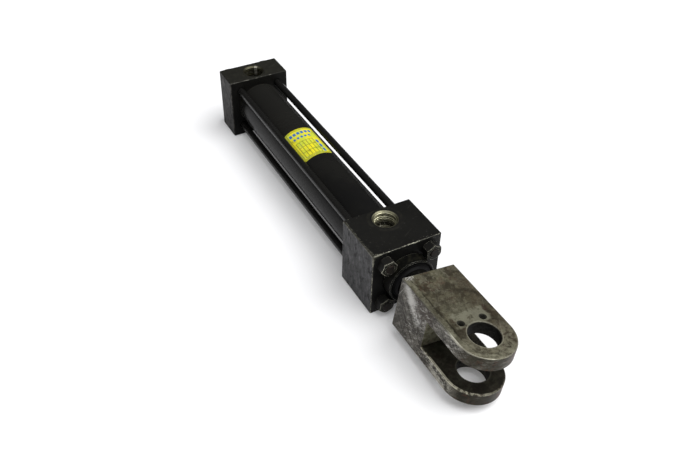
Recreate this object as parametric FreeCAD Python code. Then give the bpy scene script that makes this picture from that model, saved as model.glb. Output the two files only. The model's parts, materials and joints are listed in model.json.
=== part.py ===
# Double-acting tie-rod hydraulic cylinder with a screwed-on female rod clevis.
# 40 mm bore, 28 mm rod, 200 mm stroke, shown fully retracted.
#
# Frame: X runs along the cylinder's axis towards the rod end, +Z is up (the
# two oil ports face up), and the origin is the centre of the bounding box's
# footprint, at the height of the faces the two square blocks rest on.
# "Left" is the -Y side and "right" is the +Y side. Millimetres.
import FreeCAD, Part
import math
import os

V = FreeCAD.Vector

# ---------------------------------------------------------------- dimensions
SIDE = 64.0            # side of the square head and cap
AXIS_Z = SIDE / 2      # height of the cylinder's axis
CAP_LEN = 31.0         # rear cap, along the axis
TUBE_LEN = 245.0       # tube between the cap and the head
HEAD_LEN = 50.0        # front head, along the axis
BORE_R = 20.0          # cylinder bore 40
TUBE_R = 23.5          # tube outside diameter 47
ROD_R = 14.0           # rod diameter 28
STROKE = 200.0
BLOCK_EDGE = 0.7       # broken edges of the head and cap

TIE_PITCH = 41.7       # tie rods on a square of 41.7
TIE_R = 3.55           # rolled-thread shank of an M8 tie rod
TIE_THREAD_R = 3.97    # M8 crest
TIE_THREAD_LEN = 30.0
TIE_HOLE_R = 4.2
NUT_AF = 13.0
NUT_H = 8.0
STUD_OUT = 1.0         # thread standing out of each nut
# turn of each nut, degrees, as they happened to be tightened
NUT_TURN_FRONT = {"upper_left": 8.0, "upper_right": 30.0, "lower_left": 20.0, "lower_right": 47.0}
NUT_TURN_REAR = {"upper_left": 3.0, "upper_right": -4.0, "lower_left": 26.0, "lower_right": 41.0}

SPIGOT_R = 19.97       # register of the cap and head in the tube
SPIGOT_LEN = 8.0
CAP_CHAMBER_R = 12.0   # oil chamber in the cap
CAP_CHAMBER_BACK = 10.0
HEAD_CHAMBER_R = 16.0  # oil chamber round the rod in the head

# oil ports, G 1/2, straight up out of the top faces
PORT_MAJOR_R = 10.478
PORT_MINOR_R = 9.316
PORT_PITCH = 1.814
PORT_DEPTH = 14.0
PORT_CHAMFER_R = 11.1
PORT_DRILL_R = 5.0
CAP_PORT_X = 16.7      # from the cap's rear face
HEAD_PORT_X = 290.2

GLAND_START = 302.0    # inner end of the gland cartridge
GLAND_R = 21.0         # 42 mm pilot boss and gland bore
GLAND_OUT = 10.5       # boss in front of the head
GLAND_LAND_R = 14.3

PISTON_LEN = 28.4
PISTON_R = 19.6
RING_R = 19.95         # rings and guide strips in the bore

CLEVIS_BACK = 351.6    # clevis back face with the rod home
CLEVIS_SIDE = 49.0
CLEVIS_PIN_X = 425.2
CLEVIS_PIN_R = 12.5
CLEVIS_PIN_CHAMFER = 0.7
CLEVIS_SLOT = 25.0
CLEVIS_SLOT_FLOOR = 390.7
CLEVIS_EDGE = 1.2
CLEVIS_ROLL = -7.13    # how far the clevis happens to be turned, about +X
KEEPER_X = 409.5       # two M6 holes for a pin keeper plate
KEEPER_Y = 10.0
KEEPER_DEPTH = 9.0
M6_MAJOR_R = 3.0
M6_MINOR_R = 2.46
KEEPER_CHAMFER_R = 3.25

ROD_FLAT = 22.0        # across the two spanner flats behind the rod's shoulder
ROD_FLAT_LEN = 8.0
ROD_THREAD_R = 9.95    # M20 x 1.5 crest, 0.05 under its hole
ROD_THREAD_LEN = 35.5
CLEVIS_THREAD_R = 10.0

LABEL_X0, LABEL_X1 = 125.5, 172.5
LABEL_A0, LABEL_A1 = -40.0, 33.0   # degrees round the tube from the top, + towards +Y
LABEL_T = 0.2

# ------------------------------------------------------- derived positions
HEAD_BACK = CAP_LEN + TUBE_LEN
HEAD_FRONT = HEAD_BACK + HEAD_LEN
REAR_END = -(NUT_H + STUD_OUT)
FRONT_END = CLEVIS_PIN_X + CLEVIS_SIDE / 2
MID = (REAR_END + FRONT_END) / 2


def X(u):
    """Distance from the cap's rear face to the frame's x."""
    return u - MID


def box(u0, u1, y0, y1, z0, z1):
    return Part.makeBox(u1 - u0, y1 - y0, z1 - z0, V(X(u0), y0, z0))


def rod(u0, u1, r, y=0.0, z=AXIS_Z):
    return Part.makeCylinder(r, u1 - u0, V(X(u0), y, z), V(1, 0, 0))


def ring(u0, u1, r_out, r_in, y=0.0, z=AXIS_Z):
    return rod(u0, u1, r_out, y, z).cut(rod(u0 - 1, u1 + 1, r_in, y, z))


def torus(u, r_mid, r_section, y=0.0, z=AXIS_Z):
    return Part.makeTorus(r_mid, r_section, V(X(u), y, z), V(1, 0, 0))


def turned(points, y=0.0, z=AXIS_Z):
    """Solid of revolution about the cylinder's axis from (u, r) points."""
    pts = [V(X(u), y, z + r) for u, r in points]
    face = Part.Face(Part.makePolygon(pts + [pts[0]]))
    return face.revolve(V(0, y, z), V(1, 0, 0), 360)


def spun_z(points, u, y):
    """Solid of revolution about a vertical line at (u, y) from (r, z) points."""
    pts = [V(X(u) + r, y, z) for r, z in points]
    face = Part.Face(Part.makePolygon(pts + [pts[0]]))
    return face.revolve(V(X(u), y, 0), V(0, 0, 1), 360)


def solid(shape):
    """One clean solid out of a boolean result."""
    s = shape.removeSplitter()
    if s.ShapeType != "Solid":
        solids = s.Solids
        assert len(solids) == 1, len(solids)
        s = solids[0]
    if s.Volume < 0:
        s.reverse()
    return s


def edges_where(shape, test):
    out = []
    for e in shape.Edges:
        ps = [e.valueAt(e.FirstParameter + (e.LastParameter - e.FirstParameter) * k / 4.0) for k in range(5)]
        if all(test(p) for p in ps):
            out.append(e)
    return out


def near(a, b, tol=1e-4):
    return abs(a - b) < tol


def thread_profile(major, minor, pitch, top, depth, chamfer_r, crest=0.35, root=0.22):
    """(r, z) outline of a threaded hole with ring grooves, from the mouth at z = top down."""
    pts = [(0.0, top + 1.0), (chamfer_r, top + 1.0), (chamfer_r, top)]
    z = top - (chamfer_r - minor) * 0.85
    pts.append((minor, z))
    bottom = top - depth
    flank = (pitch - crest - root) / 2.0
    while z - crest - 2 * flank - root > bottom + 0.05:
        z -= crest
        pts.append((minor, z))
        z -= flank
        pts.append((major, z))
        z -= root
        pts.append((major, z))
        z -= flank
        pts.append((minor, z))
    pts.append((minor, bottom))
    pts.append((0.0, bottom))
    return pts


def thread_on_rod(u0, u1, crest_r, root_r, pitch, first_groove, grooves, crest=0.3, root=0.15):
    """(u, r) outline points for ring grooves on a rod, starting at u0 and running to u1."""
    pts = [(u0, crest_r)]
    flank = (pitch - crest - root) / 2.0
    u = first_groove
    for _ in range(grooves):
        pts += [(u, crest_r), (u + flank, root_r), (u + flank + root, root_r), (u + 2 * flank + root, crest_r)]
        u += pitch
    pts.append((u1, crest_r))
    return pts


CORNERS = {
    "upper_left": (-TIE_PITCH / 2, AXIS_Z + TIE_PITCH / 2),
    "upper_right": (TIE_PITCH / 2, AXIS_Z + TIE_PITCH / 2),
    "lower_left": (-TIE_PITCH / 2, AXIS_Z - TIE_PITCH / 2),
    "lower_right": (TIE_PITCH / 2, AXIS_Z - TIE_PITCH / 2),
}

parts = {}


# ------------------------------------------------------------------ rear cap
def block(u0, u1):
    b = box(u0, u1, -SIDE / 2, SIDE / 2, 0.0, SIDE)
    return b.makeChamfer(BLOCK_EDGE, b.Edges)


def port(u, chamber_r):
    """The threaded port and its drilling down to the chamber."""
    p = spun_z(thread_profile(PORT_MAJOR_R, PORT_MINOR_R, PORT_PITCH, SIDE, PORT_DEPTH, PORT_CHAMFER_R), u, 0.0)
    cone = Part.makeCone(PORT_DRILL_R, PORT_MINOR_R, 2.0, V(X(u), 0, SIDE - PORT_DEPTH - 2.0), V(0, 0, 1))
    drill = Part.makeCylinder(PORT_DRILL_R, SIDE - PORT_DEPTH - AXIS_Z - chamber_r * 0.6 + 0.5,
                              V(X(u), 0, AXIS_Z + chamber_r * 0.6), V(0, 0, 1))
    return p.fuse(cone).fuse(drill)


cap = block(0.0, CAP_LEN).fuse(rod(CAP_LEN - 1.0, CAP_LEN + SPIGOT_LEN, SPIGOT_R))
cap = cap.cut(rod(CAP_CHAMBER_BACK, CAP_LEN + SPIGOT_LEN + 1.0, CAP_CHAMBER_R))
cap = cap.cut(port(CAP_PORT_X, CAP_CHAMBER_R))
SEAL_U = CAP_LEN + 1.7
SEAL_W = 4.4
cap = cap.cut(ring(SEAL_U, SEAL_U + SEAL_W, SPIGOT_R + 1.0, 17.85))
for y, z in CORNERS.values():
    cap = cap.cut(rod(-1.0, CAP_LEN + 1.0, TIE_HOLE_R, y, z))
parts["rear_cap"] = solid(cap)

# ---------------------------------------------------------------- front head
head = block(HEAD_BACK, HEAD_FRONT).fuse(rod(HEAD_BACK - SPIGOT_LEN, HEAD_BACK + 1.0, SPIGOT_R))
head = head.cut(rod(HEAD_BACK - SPIGOT_LEN - 1.0, GLAND_START + 0.5, HEAD_CHAMBER_R))
head = head.cut(rod(GLAND_START, HEAD_FRONT + 1.0, GLAND_R))
head = head.cut(Part.makeCone(GLAND_R, GLAND_R + 0.8, 0.8, V(X(HEAD_FRONT - 0.8), 0, AXIS_Z), V(1, 0, 0)))
head = head.cut(port(HEAD_PORT_X, HEAD_CHAMBER_R))
SEAL_U2 = HEAD_BACK - 1.7 - SEAL_W
head = head.cut(ring(SEAL_U2, SEAL_U2 + SEAL_W, SPIGOT_R + 1.0, 17.85))
for y, z in CORNERS.values():
    head = head.cut(rod(HEAD_BACK - 1.0, HEAD_FRONT + 1.0, TIE_HOLE_R, y, z))
parts["front_head"] = solid(head)

# ---------------------------------------------------------------------- tube
parts["cylinder_tube"] = solid(ring(CAP_LEN, HEAD_BACK, TUBE_R, BORE_R))

# static seals of the tube: an O-ring on the oil side, a backup ring behind it
parts["tube_oring_rear"] = torus(SEAL_U + SEAL_W - 1.15, 18.91, 1.04)
parts["tube_backup_ring_rear"] = solid(ring(SEAL_U + 0.15, SEAL_U + 1.65, 19.9, 17.9))
parts["tube_oring_front"] = torus(SEAL_U2 + 1.15, 18.91, 1.04)
parts["tube_backup_ring_front"] = solid(ring(SEAL_U2 + SEAL_W - 1.65, SEAL_U2 + SEAL_W - 0.15, 19.9, 17.9))

# ------------------------------------------------------- tie rods and nuts
TIE_START, TIE_END = REAR_END, HEAD_FRONT + NUT_H + STUD_OUT
for name, (y, z) in CORNERS.items():
    pts = [(TIE_START, 0.0), (TIE_START, TIE_THREAD_R - 0.5), (TIE_START + 0.5, TIE_THREAD_R)]
    pts += thread_on_rod(TIE_START + 0.5, TIE_START + TIE_THREAD_LEN - 0.6, TIE_THREAD_R, 3.45, 1.0, TIE_START + 0.7, 9)
    pts += [(TIE_START + TIE_THREAD_LEN, TIE_R)]
    pts += [(TIE_END - TIE_THREAD_LEN, TIE_R)]
    pts += thread_on_rod(TIE_END - TIE_THREAD_LEN + 0.6, TIE_END - 0.5, TIE_THREAD_R, 3.45, 1.0, TIE_END - 9.7, 9)
    pts += [(TIE_END, TIE_THREAD_R - 0.5), (TIE_END, 0.0)]
    clean = []
    for p in pts:
        if not clean or abs(p[0] - clean[-1][0]) > 1e-6 or abs(p[1] - clean[-1][1]) > 1e-6:
            clean.append(p)
    parts["tie_rod_" + name] = solid(turned(clean, y, z))


def nut(u0, y, z, turn):
    """Hex nut with its seat at u0, both ends bevelled at 30 degrees."""
    rc = NUT_AF / 2 / math.cos(math.radians(30))
    pts = [V(X(u0), y + rc * math.cos(math.radians(turn + 60 * k)), z + rc * math.sin(math.radians(turn + 60 * k))) for k in range(6)]
    hexa = Part.Face(Part.makePolygon(pts + [pts[0]])).extrude(V(NUT_H, 0, 0))
    b = 0.58
    full = [(u0, 0.0), (u0, NUT_AF / 2 - 0.1), (u0 + (rc - NUT_AF / 2 + 0.2) * b, rc + 0.1),
            (u0 + NUT_H - (rc - NUT_AF / 2 + 0.2) * b, rc + 0.1), (u0 + NUT_H, NUT_AF / 2 - 0.1), (u0 + NUT_H, 0.0)]
    n = hexa.common(turned(full, y, z)).cut(rod(u0 - 1, u0 + NUT_H + 1, 4.0, y, z))
    c = 0.45
    n = n.cut(turned([(u0 - 0.1, 0.0), (u0 - 0.1, 4.0 + c + 0.1), (u0 + c, 4.0), (u0 + c, 0.0)], y, z))
    n = n.cut(turned([(u0 + NUT_H - c, 0.0), (u0 + NUT_H - c, 4.0), (u0 + NUT_H + 0.1, 4.0 + c + 0.1), (u0 + NUT_H + 0.1, 0.0)], y, z))
    return solid(n)


parts["front_tie_nuts"] = Part.makeCompound([nut(HEAD_FRONT, y, z, NUT_TURN_FRONT[n]) for n, (y, z) in CORNERS.items()])
parts["rear_tie_nuts"] = Part.makeCompound([nut(-NUT_H, y, z, NUT_TURN_REAR[n]) for n, (y, z) in CORNERS.items()])

# ------------------------------------------------------------- gland and seals
GF = HEAD_FRONT + GLAND_OUT            # front face of the boss
GE = 0.9                               # its outer chamfer
gland = turned([
    (GLAND_START, GLAND_LAND_R + 0.7), (GLAND_START, 20.2), (GLAND_START + 0.7, 20.95), (GLAND_START + 2.2, 20.95),
    (GLAND_START + 2.2, 18.85), (GLAND_START + 6.6, 18.85), (GLAND_START + 6.6, 20.95),
    (HEAD_FRONT - 2.6, 20.95), (HEAD_FRONT - 2.6, 20.2), (HEAD_FRONT, 20.2), (HEAD_FRONT, GLAND_R),
    (GF - GE, GLAND_R), (GF, GLAND_R - GE), (GF, 18.6), (GF - 0.6, 18.05),
    (GF - 5.5, 18.05), (GF - 5.5, GLAND_LAND_R),
    (GF - 7.5, GLAND_LAND_R), (GF - 7.5, 18.05), (GF - 14.0, 18.05), (GF - 14.0, GLAND_LAND_R),
    (GF - 16.5, GLAND_LAND_R), (GF - 16.5, 17.75), (GF - 20.0, 17.75), (GF - 20.0, GLAND_LAND_R),
    (GF - 22.0, GLAND_LAND_R), (GF - 22.0, 16.55), (GF - 31.9, 16.55), (GF - 31.9, GLAND_LAND_R),
    (GLAND_START + 0.7, GLAND_LAND_R),
])
parts["rod_gland"] = solid(gland)
parts["gland_oring"] = torus(GLAND_START + 3.55, 19.92, 1.02)
parts["gland_backup_ring"] = solid(ring(GLAND_START + 4.9, GLAND_START + 6.4, 20.9, 18.9))

# wiper: body in its pocket, lip standing out of the boss round the rod
parts["rod_wiper"] = solid(turned([
    (GF - 5.3, 14.9), (GF - 5.3, 18.0), (GF - 0.5, 18.0), (GF - 0.2, 17.7), (GF - 0.2, 16.2), (GF + 0.5, 15.5),
    (GF + 1.9, 14.7), (GF + 1.9, 14.05), (GF + 1.2, 14.05), (GF - 1.2, 14.9),
]))
# U-section lip seal, open towards the oil
parts["rod_lip_seal"] = solid(turned([
    (GF - 7.7, 14.5), (GF - 7.7, 17.98), (GF - 13.3, 17.98), (GF - 13.3, 16.9), (GF - 11.0, 16.4),
    (GF - 11.0, 15.7), (GF - 13.3, 15.1), (GF - 13.3, 14.05), (GF - 12.2, 14.05), (GF - 10.0, 14.5),
]))
# stepped PTFE seal with its energising ring
parts["rod_step_seal"] = solid(turned([
    (GF - 16.65, 14.6), (GF - 16.65, 15.95), (GF - 19.85, 15.95), (GF - 19.85, 14.05), (GF - 18.2, 14.05), (GF - 17.9, 14.6),
]))
parts["rod_step_seal_energiser"] = torus(GF - 18.25, 16.85, 0.86)
parts["rod_guide_ring"] = solid(ring(GF - 31.8, GF - 22.1, 16.5, 14.05))

# ---------------------------------------------------------------- name label
def label():
    full = ring(LABEL_X0, LABEL_X1, TUBE_R + LABEL_T, TUBE_R)
    a = [math.radians(90 - k) for k in (LABEL_A0, LABEL_A1)]
    far = 60.0
    m = (a[0] + a[1]) / 2
    pts = [V(X(LABEL_X0) - 1, 0, AXIS_Z)]
    for t in (a[0], m, a[1]):
        pts.append(V(X(LABEL_X0) - 1, far * math.cos(t), AXIS_Z + far * math.sin(t)))
    wedge = Part.Face(Part.makePolygon(pts + [pts[0]])).extrude(V(LABEL_X1 - LABEL_X0 + 2, 0, 0))
    piece = solid(full.common(wedge))
    # rounded corners: fillet the four short edges that run through the foil
    short = [e for e in piece.Edges if abs(e.Length - LABEL_T) < 0.01]
    return piece.makeFillet(2.0, short) if len(short) == 4 else piece


parts["label_plate"] = solid(label())

# ------------------------------------------------------------- piston and rod
PISTON_U0 = CAP_LEN + SPIGOT_LEN + 0.3   # rear face with the rod home
PISTON_U1 = PISTON_U0 + PISTON_LEN
GROOVE_G = 5.8                           # guide ring groove width
GROOVE_S = 6.4                           # seal groove width
LAND = (PISTON_LEN - 2 * GROOVE_G - GROOVE_S) / 4
g0 = PISTON_U0 + LAND
g1 = g0 + GROOVE_G + LAND
g2 = g1 + GROOVE_S + LAND
piston = turned([
    (PISTON_U0, 9.0), (PISTON_U0, PISTON_R - 0.8), (PISTON_U0 + 0.8, PISTON_R),
    (g0, PISTON_R), (g0, 17.5), (g0 + GROOVE_G, 17.5), (g0 + GROOVE_G, PISTON_R),
    (g1, PISTON_R), (g1, 15.5), (g1 + GROOVE_S, 15.5), (g1 + GROOVE_S, PISTON_R),
    (g2, PISTON_R), (g2, 17.5), (g2 + GROOVE_G, 17.5), (g2 + GROOVE_G, PISTON_R),
    (PISTON_U1 - 0.8, PISTON_R), (PISTON_U1, PISTON_R - 0.8), (PISTON_U1, 9.0),
    (PISTON_U1 - 1.2, 9.0), (PISTON_U1 - 1.2, 11.0), (PISTON_U1 - 3.8, 11.0), (PISTON_U1 - 3.8, 9.0),
])
LOCK_R = 2.5
LOCK_LEN = 8.0
lock_hole = rod(PISTON_U0 - 1.0, PISTON_U0 + LOCK_LEN + 0.6, LOCK_R + 0.03, 0.0, AXIS_Z + 9.0)
parts["piston"] = solid(piston.cut(lock_hole))
parts["piston_joint_oring"] = torus(PISTON_U1 - 2.5, 9.98, 0.96)

# grub screw across the joint of piston and rod, with a 2.5 mm hex socket
lock = rod(PISTON_U0 + 0.3, PISTON_U0 + 0.3 + LOCK_LEN, LOCK_R, 0.0, AXIS_Z + 9.0)
hexr = 1.25 / math.cos(math.radians(30))
hp = [V(X(PISTON_U0) - 0.5, hexr * math.cos(math.radians(60 * k)), AXIS_Z + 9.0 + hexr * math.sin(math.radians(60 * k))) for k in range(6)]
parts["piston_lock_screw"] = solid(lock.cut(Part.Face(Part.makePolygon(hp + [hp[0]])).extrude(V(3.6, 0, 0))))

SPIG = 8.95
pts = [(PISTON_U0 + 0.2, 0.0), (PISTON_U0 + 0.2, SPIG - 0.8), (PISTON_U0 + 1.0, SPIG),
       (PISTON_U1 - 4.4, SPIG), (PISTON_U1, SPIG), (PISTON_U1, ROD_R - 0.5), (PISTON_U1 + 0.5, ROD_R),
       (CLEVIS_BACK - 2.0, ROD_R), (CLEVIS_BACK, ROD_R - 2.0),
       (CLEVIS_BACK, 9.0), (CLEVIS_BACK + 2.6, 9.0), (CLEVIS_BACK + 3.4, ROD_THREAD_R)]
n_grooves = int((ROD_THREAD_LEN - 6.5) / 1.5)
pts += thread_on_rod(CLEVIS_BACK + 3.6, CLEVIS_BACK + ROD_THREAD_LEN - 1.2, ROD_THREAD_R, 9.2, 1.5, CLEVIS_BACK + 4.4, n_grooves, 0.3, 0.2)
pts += [(CLEVIS_BACK + ROD_THREAD_LEN, ROD_THREAD_R - 1.2), (CLEVIS_BACK + ROD_THREAD_LEN, 0.0)]
piston_rod = turned(pts).cut(lock_hole)
for s in (1, -1):
    flat = Part.makeBox(ROD_FLAT_LEN, 10.0, 40.0, V(X(CLEVIS_BACK - ROD_FLAT_LEN), ROD_FLAT / 2 if s > 0 else -ROD_FLAT / 2 - 10.0, AXIS_Z - 20.0))
    flat.rotate(V(0, 0, AXIS_Z), V(1, 0, 0), CLEVIS_ROLL)
    piston_rod = piston_rod.cut(flat)
parts["piston_rod"] = solid(piston_rod)

# rings that slide in the bore; the rod can turn inside them
RING_IN = 17.55
parts["piston_guide_ring_rear"] = solid(ring(g0 + 0.1, g0 + GROOVE_G - 0.1, RING_R, RING_IN))
parts["piston_guide_ring_front"] = solid(ring(g2 + 0.1, g2 + GROOVE_G - 0.1, RING_R, RING_IN))
parts["piston_seal"] = solid(ring(g1 + 0.1, g1 + GROOVE_S - 0.1, RING_R, 17.95))
parts["piston_seal_energiser"] = torus(g1 + GROOVE_S / 2, 16.74, 1.17)

# --------------------------------------------------------------- rod clevis
h = CLEVIS_SIDE / 2
c = box(CLEVIS_BACK, CLEVIS_PIN_X, -h, h, AXIS_Z - h, AXIS_Z + h)
c = c.fuse(Part.makeCylinder(h, CLEVIS_SIDE, V(X(CLEVIS_PIN_X), 0, AXIS_Z - h), V(0, 0, 1)))
c = solid(c)
outer = edges_where(c, lambda p: near(p.z, AXIS_Z + h) or near(p.z, AXIS_Z - h))
back = edges_where(c, lambda p: near(p.x, X(CLEVIS_BACK)))
picked = []
for e in outer + back:
    if not any(e.isSame(o) for o in picked):
        picked.append(e)
c = c.makeFillet(CLEVIS_EDGE, picked)
c = c.cut(box(CLEVIS_SLOT_FLOOR, FRONT_END + 5, -h - 5, h + 5, AXIS_Z - CLEVIS_SLOT / 2, AXIS_Z + CLEVIS_SLOT / 2))
c = solid(c)
inner = edges_where(c, lambda p: (near(p.z, AXIS_Z + CLEVIS_SLOT / 2) or near(p.z, AXIS_Z - CLEVIS_SLOT / 2)) and p.x > X(CLEVIS_SLOT_FLOOR) - 1e-4
                    and (near(abs(p.y), h) or near(math.hypot(p.x - X(CLEVIS_PIN_X), p.y), h)))
inner = [e for e in inner if e.Length > 5]
c = c.makeChamfer(0.5, inner)
# pin bore, chamfered at both outer faces and lightly at the inner ones
c = c.cut(Part.makeCylinder(CLEVIS_PIN_R, 80, V(X(CLEVIS_PIN_X), 0, AXIS_Z - 40), V(0, 0, 1)))
k = CLEVIS_PIN_CHAMFER
for s in (1, -1):
    c = c.cut(Part.makeCone(CLEVIS_PIN_R, CLEVIS_PIN_R + k + 1, k + 1, V(X(CLEVIS_PIN_X), 0, AXIS_Z + s * (h - k)), V(0, 0, s)))
    c = c.cut(Part.makeCone(CLEVIS_PIN_R, CLEVIS_PIN_R + 1.3, 1.3, V(X(CLEVIS_PIN_X), 0, AXIS_Z + s * (CLEVIS_SLOT / 2 + 0.3)), V(0, 0, -s)))
# rod thread, open into the slot
c = c.cut(rod(CLEVIS_BACK - 1, CLEVIS_SLOT_FLOOR + 1, CLEVIS_THREAD_R))
c = c.cut(Part.makeCone(CLEVIS_THREAD_R + 1.0, CLEVIS_THREAD_R, 1.0, V(X(CLEVIS_BACK), 0, AXIS_Z), V(1, 0, 0)))
# keeper plate screw holes in the upper ear
for s in (1, -1):
    hole = spun_z(thread_profile(M6_MAJOR_R, M6_MINOR_R, 1.0, AXIS_Z + h, KEEPER_DEPTH, KEEPER_CHAMFER_R, 0.28, 0.12), KEEPER_X, s * KEEPER_Y)
    tip = Part.makeCone(0.0, M6_MINOR_R, 1.42, V(X(KEEPER_X), s * KEEPER_Y, AXIS_Z + h - KEEPER_DEPTH - 1.42), V(0, 0, 1))
    c = c.cut(hole.fuse(tip))
c = solid(c)
c.rotate(V(0, 0, AXIS_Z), V(1, 0, 0), CLEVIS_ROLL)
parts["rod_clevis"] = c

# -------------------------------------------------------------------- export
os.makedirs("parts", exist_ok=True)
for name, shape in parts.items():
    assert shape.isValid(), name
    shape.exportStep("parts/" + name + ".step")
total = Part.makeCompound(list(parts.values())).BoundBox
print(len(parts), "nodes; box", [round(v, 2) for v in (total.XMin, total.YMin, total.ZMin, total.XMax, total.YMax, total.ZMax)], "MID", MID)
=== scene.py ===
import bpy, bmesh, math, json
from mathutils import Vector, Matrix, Quaternion


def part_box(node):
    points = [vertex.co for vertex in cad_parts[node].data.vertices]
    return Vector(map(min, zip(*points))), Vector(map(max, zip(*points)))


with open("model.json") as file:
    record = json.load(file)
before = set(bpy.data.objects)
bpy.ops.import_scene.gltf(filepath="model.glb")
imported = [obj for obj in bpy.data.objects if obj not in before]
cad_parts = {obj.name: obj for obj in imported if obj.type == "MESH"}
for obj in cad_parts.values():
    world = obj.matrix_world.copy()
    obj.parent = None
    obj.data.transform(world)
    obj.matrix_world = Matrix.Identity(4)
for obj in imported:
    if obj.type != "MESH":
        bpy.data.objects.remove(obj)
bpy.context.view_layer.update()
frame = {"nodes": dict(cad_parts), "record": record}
NODES = frame["nodes"]
scene = bpy.context.scene

# ------------------------------------------------------------------ places
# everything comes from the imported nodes' boxes, in metres
cap_lo, cap_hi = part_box("rear_cap")
head_lo, head_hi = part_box("front_head")
tube_lo, tube_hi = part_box("cylinder_tube")
clev_lo, clev_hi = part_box("rod_clevis")
gland_lo, gland_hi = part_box("rod_gland")
label_lo, label_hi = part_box("label_plate")
SIDE = head_hi.z - head_lo.z
AXIS_Z = head_lo.z + SIDE / 2
CAP_X0, CAP_X1 = cap_lo.x, tube_lo.x          # the square block, without its spigot
HEAD_X0, HEAD_X1 = tube_hi.x, head_hi.x
TUBE_R = (tube_hi.y - tube_lo.y) / 2
mounts = {m["name"]: m for m in frame["record"]["mounts"]}
PORT_F = mounts["port_front"]["pos_m"][0]
PORT_R = mounts["port_rear"]["pos_m"][0]
PIN = mounts["clevis_pin_bore"]
PIN_X = PIN["pos_m"][0]
ROLL = math.atan2(-PIN["axis"][1], PIN["axis"][2])   # the clevis's turn about +X
KEEP_X = mounts["keeper_plate_screws"]["pos_m"][0]
CLEV_X0 = clev_lo.x
CLEV_H = 0.0245


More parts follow.
